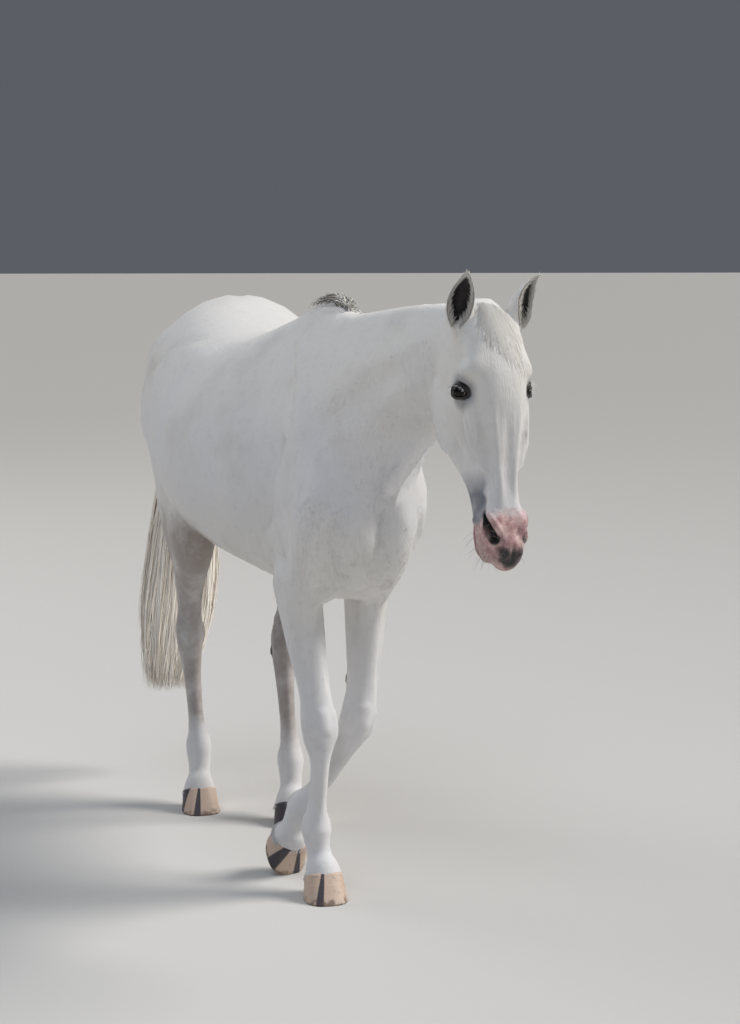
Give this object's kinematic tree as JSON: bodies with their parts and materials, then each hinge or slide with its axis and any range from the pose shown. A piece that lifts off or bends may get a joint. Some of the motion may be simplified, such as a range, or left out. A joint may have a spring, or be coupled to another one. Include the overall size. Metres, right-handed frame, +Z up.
{
  "type": "horse",
  "caption": "Life-size model of a white horse walking, one foreleg planted forward and the other tipped onto its toe behind it, head low and hanging near upright.",
  "frame": {"origin": "on the floor, under the middle of the animal's overall box", "axes": "+Z up, +Y towards the tail, +X to the horse's left; the head points along -Y"},
  "size_m": [0.7194, 2.4238, 1.7174],
  "materials": {
    "coat": "short white hair lying flat over grey and pink skin",
    "long_hair": "long cream-white horsehair",
    "eye": "wet, near black",
    "hoof": "pale horn with dark upright stripes"
  },
  "bodies": {
    "root": {"barrel": "coat", "chest": "coat", "ear_left": "coat", "ear_right": "coat", "eye_left": "eye", "eye_right": "eye", "forelock": "long_hair", "head": "coat", "hindquarters": "coat", "left_fore_cannon": "coat", "left_fore_forearm": "coat", "left_fore_hoof": "hoof", "left_fore_knee": "coat", "left_fore_pastern": "coat", "left_hind_cannon": "coat", "left_hind_gaskin": "coat", "left_hind_hock": "coat", "left_hind_hoof": "hoof", "left_hind_pastern": "coat", "left_hind_thigh": "coat", "mane": "long_hair", "neck": "coat", "right_fore_cannon": "coat", "right_fore_forearm": "coat", "right_fore_hoof": "hoof", "right_fore_knee": "coat", "right_fore_pastern": "coat", "right_hind_cannon": "coat", "right_hind_gaskin": "coat", "right_hind_hock": "coat", "right_hind_hoof": "hoof", "right_hind_pastern": "coat", "right_hind_thigh": "coat", "tail": "long_hair"}
  },
  "joints": []
}
